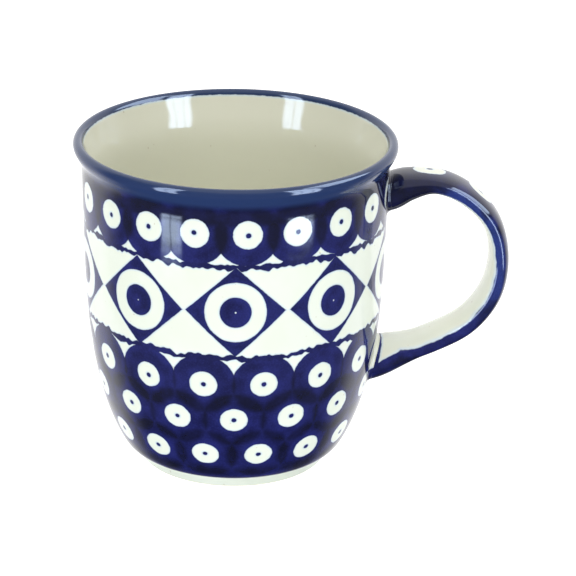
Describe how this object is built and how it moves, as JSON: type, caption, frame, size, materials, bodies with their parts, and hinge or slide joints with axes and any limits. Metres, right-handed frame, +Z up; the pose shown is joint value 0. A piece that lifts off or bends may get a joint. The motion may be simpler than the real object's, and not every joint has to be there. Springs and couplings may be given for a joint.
{
  "type": "stoneware mug",
  "caption": "Hand-stamped glazed stoneware mug with a gently bellied bowl, rolled rim, foot ring and D-shaped strap handle.",
  "frame": {"origin": "on the bowl's axis at the plane the mug stands on", "axes": "+Z up along the bowl's axis, +X towards the handle"},
  "size_m": [0.1219, 0.09, 0.0942],
  "materials": {
    "glazed_bowl": "clear gloss glaze over stamped cobalt decoration on a cream ground",
    "glazed_handle": "clear gloss glaze over cobalt, with an unpainted cream inner face",
    "joint_slip": "smoothed slip under the same clear glaze"
  },
  "bodies": {
    "root": {"bowl": "glazed_bowl", "handle": "glazed_handle", "upper_handle_slip": "joint_slip", "lower_handle_slip": "joint_slip"}
  },
  "joints": []
}
